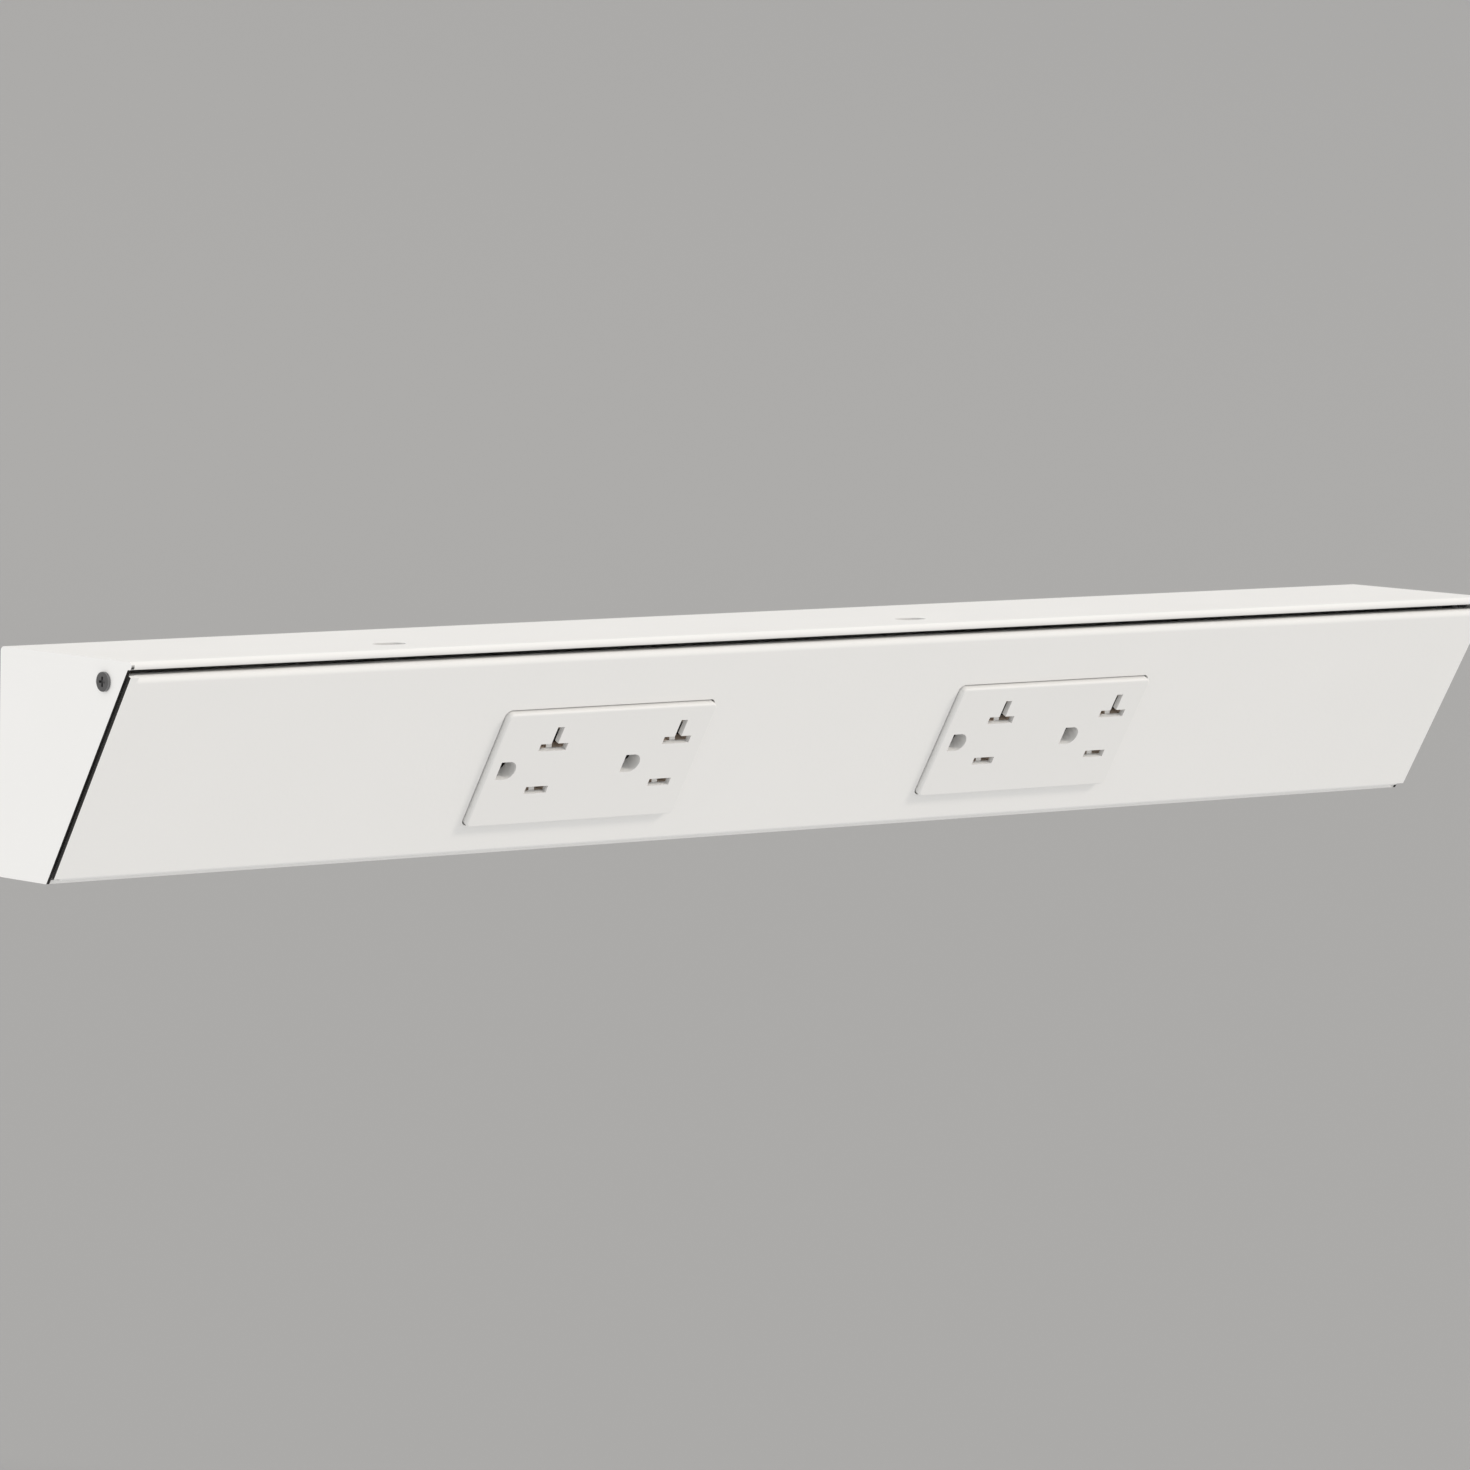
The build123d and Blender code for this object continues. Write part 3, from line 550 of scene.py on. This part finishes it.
def dress(nodes, material):
    """Gives CAD nodes a material."""
    for name in nodes:
        slots = frame["nodes"][name].data.materials
        slots.clear()
        slots.append(material)


def paint_lit_front(name, material):
    """Gives the faces of a receptacle piece that look out of the cover a second, lighter material: a painted
    highlight on the out-facing fronts.
    """
    facing_out = 0.5
    mesh = frame["nodes"][name].data
    mesh.materials.append(material)
    for face in mesh.polygons:
        if face.normal.dot(OUT_OF_THE_FACE) > facing_out:
            face.material_index = len(mesh.materials) - 1


def nodes_with(slot):
    """The CAD nodes that have this material slot in the record."""
    return [part["node"] for part in frame["record"]["subparts"] if part["material_slot"] == slot]


# Pieces


class DressSheetMetal(bpy.types.Operator):
    """Coats the housing, the end plates and the front cover"""

    bl_idname = "power_strip.sheet_metal"
    bl_label = "Housing and cover"

    def execute(self, context):
        dress(["housing"], powder_coat())
        # The end plates' front edges and the cover's ends get painted shade: near black, as dark as the gap
        # between them
        dress([f"{side}_end_plate" for side in SIDES], coat_with_shaded_edges("End plate coat", OUT_OF_THE_FACE))
        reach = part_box("front_cover")[1].x - context.scene.sheet_metal_look.gap_shade_reach
        dress(["front_cover"], coat_with_shaded_edges("Cover coat", (1, 0, 0), reach))
        return {"FINISHED"}


class DressMouldings(bpy.types.Operator):
    """Finishes the receptacle faces, shutters, decks and rear bodies"""

    bl_idname = "power_strip.mouldings"
    bl_label = "Receptacle mouldings"

    def execute(self, context):
        look = context.scene.moulding_look
        dress(nodes_with("face_plastic"), moulding("Face moulding", look.face))
        shutters = nodes_with("shutter_plastic")
        # Painted shade and highlight: the shutters darker, the out-facing fronts of their teeth lighter
        dress(shutters, moulding("Shutter moulding", look.shutter, dullness=1.2))
        painted_lit_tooth = moulding("Tooth front", look.painted_lit_tooth, dullness=1.2)
        for name in shutters:
            paint_lit_front(name, painted_lit_tooth)
        deck = moulding("Deck moulding", look.deck, dullness=1.3, mottle=0.2)
        dress(nodes_with("deck_plastic"), deck)
        body = moulding("Body moulding", look.body, dullness=1.3, mottle=0.1)
        dress(nodes_with("body_plastic"), body)
        return {"FINISHED"}


class DressContacts(bpy.types.Operator):
    """Finishes the brass contacts and the steel straps"""

    bl_idname = "power_strip.contacts"
    bl_label = "Contacts and straps"

    def execute(self, context):
        look = context.scene.metal_look
        dress(nodes_with("contact_brass"), metal("Contact brass", look.brass, roughness=0.28))
        dress(nodes_with("strap_steel"), metal("Strap steel", look.strap, roughness=0.36))
        return {"FINISHED"}


class DressFasteners(bpy.types.Operator):
    """Finishes the screws, nuts, brackets and stand-offs"""

    bl_idname = "power_strip.fasteners"
    bl_label = "Fasteners and brackets"

    def execute(self, context):
        look = context.scene.metal_look
        dress(nodes_with("zinc_steel"), metal("Zinc plate", look.zinc, roughness=0.34))
        dress(nodes_with("plated_screw"), metal("Cover screw plate", look.screw, roughness=0.38))
        dress(nodes_with("brass_screw"), metal("Screw brass", look.brass, roughness=0.22))
        dress(nodes_with("nickel_screw"), metal("Screw nickel", look.nickel, roughness=0.18))
        dye = metal("Green dye", look.green, roughness=0.33, metallic=0.6)
        dress(nodes_with("green_screw"), dye)
        return {"FINISHED"}


class DressWiring(bpy.types.Operator):
    """Finishes the wires, their bare ends, ring terminals and connectors"""

    bl_idname = "power_strip.wiring"
    bl_label = "Wiring"

    def execute(self, context):
        look = context.scene.wire_look
        metals = context.scene.metal_look
        dress(nodes_with("black_insulation"), insulation("Hot insulation", look.hot))
        dress(nodes_with("white_insulation"), insulation("Neutral insulation", look.neutral))
        dress(nodes_with("green_insulation"), insulation("Earth insulation", look.earth))
        dress(nodes_with("copper"), metal("Bare copper", metals.copper, roughness=0.25))
        dress(nodes_with("tinned_copper"), metal("Tinned copper", metals.zinc, roughness=0.3))
        colour = context.scene.moulding_look.connector
        connector = moulding("Connector moulding", colour, dullness=1.1, mottle=0.05)
        dress(nodes_with("connector_plastic"), connector)
        return {"FINISHED"}


# Rise of a closed turn in wire diameters
CLOSED_PITCH = 1.02


def spring_line(size, steps_per_turn=16):
    """Centreline of a compression spring along Z about its middle, with closed ends."""
    closed_pitch = size.wire * CLOSED_PITCH
    closed_rise = size.closed_turns * closed_pitch
    open_rise = size.free_length - size.wire - 2 * closed_rise
    turns = size.turns + 2 * size.closed_turns
    radius = (size.coil_diameter - size.wire) / 2
    points = []
    for i in range(int(turns * steps_per_turn) + 1):
        turn = i / steps_per_turn
        open_turns = turn - size.closed_turns
        if open_turns < 0:
            rise = closed_pitch * turn
        elif open_turns > size.turns:
            rise = closed_rise + open_rise + closed_pitch * (open_turns - size.turns)
        else:
            rise = closed_rise + open_rise * open_turns / size.turns
        angle = 2 * math.pi * turn
        z = rise + size.wire / 2 - size.free_length / 2
        points.append(Vector((radius * math.cos(angle), radius * math.sin(angle), z)))
    return points


def tube_mesh(name, points, diameter, sides=10):
    """A closed tube of this diameter along the points."""
    shape = bmesh.new()
    rings = []
    for i, point in enumerate(points):
        ahead = points[min(i + 1, len(points) - 1)] - points[max(i - 1, 0)]
        turned = ahead.to_track_quat("Z", "X").to_matrix()
        ring = []
        for k in range(sides):
            angle = 2 * math.pi * k / sides
            rim = Vector((math.cos(angle), math.sin(angle), 0)) * diameter / 2
            ring.append(shape.verts.new(point + turned @ rim))
        rings.append(ring)
    for low, high in zip(rings, rings[1:]):
        gap = min(range(sides), key=lambda k: (high[k].co - low[0].co).length)
        for k in range(sides):
            after = (k + 1) % sides
            shape.faces.new(
                (low[k], low[after], high[(after + gap) % sides], high[(k + gap) % sides])
            )
    shape.faces.new(rings[0][::-1])
    shape.faces.new(rings[-1])
    bmesh.ops.recalc_face_normals(shape, faces=shape.faces)
    for face in shape.faces:
        face.smooth = len(face.verts) == 4
    mesh = bpy.data.meshes.new(name)
    shape.to_mesh(mesh)
    shape.free()
    return mesh


class BuildSprings(bpy.types.Operator):
    """Winds the shutter springs in place of the CAD springs, which it hides"""

    bl_idname = "power_strip.springs"
    bl_label = "Shutter springs"

    def execute(self, context):
        size = context.scene.spring_size
        steel = metal("Spring steel", context.scene.metal_look.spring, roughness=0.25)
        turned = UP_THE_FACE.to_track_quat("Z", "X").to_matrix().to_4x4()
        for side in SIDES:
            for k in (1, 2):
                node = f"{side}_spring_{k}"
                low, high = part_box(node)
                middle = (low + high) / 2
                name = f"{side}_shutter_spring_{k}"
                mesh = tube_mesh(name, spring_line(size), size.wire)
                mesh.transform(Matrix.Translation(middle) @ turned)
                mesh.materials.append(steel)
                spring = bpy.data.objects.new(name, mesh)
                context.scene.collection.objects.link(spring)
                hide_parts(node)
                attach(spring, STRIP)
                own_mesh(spring)
        return {"FINISHED"}


# Stage, lamps and camera


# Shares of the soft light that come from straight below and from straight above, and its colour
LIGHT_FROM_BELOW = 0.88
LIGHT_FROM_ABOVE = 0.95
SOFT_LIGHT = (1.0, 0.995, 0.985, 1)
LAMP_DISTANCE = 2.0

CAMERA_PLACE = Vector((-1.2717, -1.4035, 0.1448))
CAMERA_AHEAD = Vector((0.6629, 0.7431, -0.0917))
CAMERA_UPRIGHT = Vector((0.0451, 0.0826, 0.9956))
SENSOR_WIDTH = 36.0
FARTHEST_SEEN = 50.0


def stage_surface():
    """Floor and backdrop: plain, and clear from behind so that nothing hides the strip."""
    look = bpy.context.scene.stage_size
    material, shader = new_surface("Stage paper", look.floor, Roughness=0.9, Specular_IOR_Level=0.0)
    tree = material.node_tree
    behind = put(tree, "ShaderNodeNewGeometry").outputs["Backfacing"]
    clear = put(tree, "ShaderNodeBsdfTransparent")
    blend_shaders(tree, behind, shader, clear, tree.nodes["Material Output"])
    return material


def stage_profile(look, arc_steps=24):
    """Radius and height of the round stage from its centre to the top of its wall."""
    floor = cad_box[0].z - look.drop
    profile = [(0.0, floor), (look.radius / 2, floor), (look.radius, floor)]
    for i in range(1, arc_steps + 1):
        angle = math.pi / 2 * i / arc_steps
        out = look.radius + look.sweep * math.sin(angle)
        profile.append((out, floor + look.sweep * (1 - math.cos(angle))))
    profile.append((look.radius + look.sweep, floor + look.wall))
    return profile


def stage_mesh(look, around=96):
    """The stage's profile turned round Z, smooth all over."""
    shape = bmesh.new()
    rings = []
    for radius, height in stage_profile(look):
        if radius == 0.0:
            rings.append([shape.verts.new((0, 0, height))] * around)
            continue
        ring = []
        for k in range(around):
            angle = 2 * math.pi * k / around
            ring.append(shape.verts.new((radius * math.cos(angle), radius * math.sin(angle), height)))
        rings.append(ring)
    for inner, outer in zip(rings, rings[1:]):
        for k in range(around):
            after = (k + 1) % around
            corners = [inner[k], outer[k], outer[after], inner[after]]
            shape.faces.new(list(dict.fromkeys(corners)))
    for face in shape.faces:
        face.smooth = True
    mesh = bpy.data.meshes.new("stage_paper")
    shape.to_mesh(mesh)
    shape.free()
    return mesh


class BuildStage(bpy.types.Operator):
    """Sets up the floor and backdrop, the soft light and the lamps"""

    bl_idname = "power_strip.stage"
    bl_label = "Stage and lamps"

    def execute(self, context):
        look = context.scene.stage_size
        mesh = stage_mesh(look)
        mesh.materials.append(stage_surface())
        paper = bpy.data.objects.new("stage_paper", mesh)
        context.scene.collection.objects.link(paper)
        paper.visible_diffuse = False
        paper.visible_shadow = False

        self.light_the_room(context, look)
        self.hang_lamp(
            context, "front_lamp", towards=(0.50, -0.68, 0.53), spread=11.0, strength=1.08,
            colour=look.warm,
        )
        self.hang_lamp(
            context, "top_lamp", towards=(0.17, 0.61, 0.78), spread=24.0, strength=0.10,
            colour=look.plain,
        )
        self.hang_lamp(
            context, "left_lamp", towards=(-0.90, 0.42, 0.10), spread=24.0, strength=0.74,
            colour=look.plain,
        )
        return {"FINISHED"}

    def light_the_room(self, context, look):
        """Even light from all round, a little weaker from below. The camera sees the backdrop's colour."""
        world = bpy.data.worlds.new("Soft light")
        context.scene.world = world
        world.use_nodes = True
        tree = world.node_tree
        place = put(tree, "ShaderNodeTexCoord").outputs["Generated"]
        height = put(tree, "ShaderNodeSeparateXYZ", Vector=place).outputs["Z"]
        share = put(
            tree, "ShaderNodeMapRange", Value=height, From_Min=-1.0, From_Max=1.0,
            To_Min=LIGHT_FROM_BELOW, To_Max=LIGHT_FROM_ABOVE,
        )
        strength = calculate(tree, "MULTIPLY", share.outputs["Result"], look.sky)
        light = put(tree, "ShaderNodeBackground", Color=SOFT_LIGHT, Strength=strength)
        backdrop = put(tree, "ShaderNodeBackground", Color=(*look.floor, 1), Strength=1.0)
        seen = put(tree, "ShaderNodeLightPath").outputs["Is Camera Ray"]
        blend_shaders(tree, seen, light, backdrop, tree.nodes["World Output"])

    def hang_lamp(self, context, name, towards, spread, strength, colour):
        """A distant soft lamp in this direction, as wide as the spread in degrees."""
        lamp = bpy.data.lights.new(name, "SUN")
        lamp.color = colour
        lamp.angle = math.radians(spread)
        lamp.energy = strength
        holder = bpy.data.objects.new(name, lamp)
        holder.location = LAMP_DISTANCE * Vector(towards)
        holder.rotation_mode = "QUATERNION"
        holder.rotation_quaternion = (-Vector(towards)).to_track_quat("-Z", "Y")
        holder.visible_camera = False
        holder.visible_glossy = False
        context.scene.collection.objects.link(holder)


class PlaceCamera(bpy.types.Operator):
    """Puts the camera to the left of the strip, a little above it"""

    bl_idname = "power_strip.camera"
    bl_label = "Camera"

    def execute(self, context):
        ahead = CAMERA_AHEAD.normalized()
        right = ahead.cross(CAMERA_UPRIGHT).normalized()
        upright = right.cross(ahead)
        turned = Matrix((right, upright, -ahead)).transposed()
        lens = bpy.data.cameras.new("camera")
        lens.sensor_width = SENSOR_WIDTH
        lens.lens = context.scene.stage_size.lens
        lens.clip_end = FARTHEST_SEEN
        camera = bpy.data.objects.new("camera", lens)
        camera.matrix_world = Matrix.Translation(CAMERA_PLACE) @ turned.to_4x4()
        context.scene.collection.objects.link(camera)
        context.scene.camera = camera
        context.scene.view_settings.view_transform = "Standard"
        return {"FINISHED"}


class POWERSTRIP_PT_tools(bpy.types.Panel):
    """Lists the steps that dress the power strip"""

    bl_label = "Power strip"
    bl_idname = "POWERSTRIP_PT_tools"
    bl_space_type = "VIEW_3D"
    bl_region_type = "UI"
    bl_category = "Power Strip"

    def draw(self, context):
        for step in STEPS:
            self.layout.operator(step.bl_idname)
        for name in LOOKS:
            look = getattr(context.scene, name)
            box = self.layout.box()
            for prop in look.bl_rna.properties:
                if prop.identifier not in {"rna_type", "name"}:
                    box.prop(look, prop.identifier)


LOOKS = {
    "sheet_metal_look": SheetMetalLook,
    "moulding_look": MouldingLook,
    "metal_look": MetalLook,
    "wire_look": WireLook,
    "spring_size": SpringSize,
    "stage_size": StageSize,
}
STEPS = (
    PlaceCamera,
    BuildStage,
    DressSheetMetal,
    DressMouldings,
    DressContacts,
    DressFasteners,
    DressWiring,
    BuildSprings,
)


def register():
    """Adds the looks, the steps and the panel."""
    for name, look in LOOKS.items():
        bpy.utils.register_class(look)
        setattr(bpy.types.Scene, name, bpy.props.PointerProperty(type=look))
    for step in STEPS:
        bpy.utils.register_class(step)
    bpy.utils.register_class(POWERSTRIP_PT_tools)


def unregister():
    """Takes them out again."""
    bpy.utils.unregister_class(POWERSTRIP_PT_tools)
    for step in reversed(STEPS):
        bpy.utils.unregister_class(step)
    for name, look in reversed(LOOKS.items()):
        delattr(bpy.types.Scene, name)
        bpy.utils.unregister_class(look)


def main():
    """Runs every step."""
    register()
    for step in STEPS:
        group, name = step.bl_idname.split(".")
        getattr(getattr(bpy.ops, group), name)()


if __name__ == "__main__":
    main()
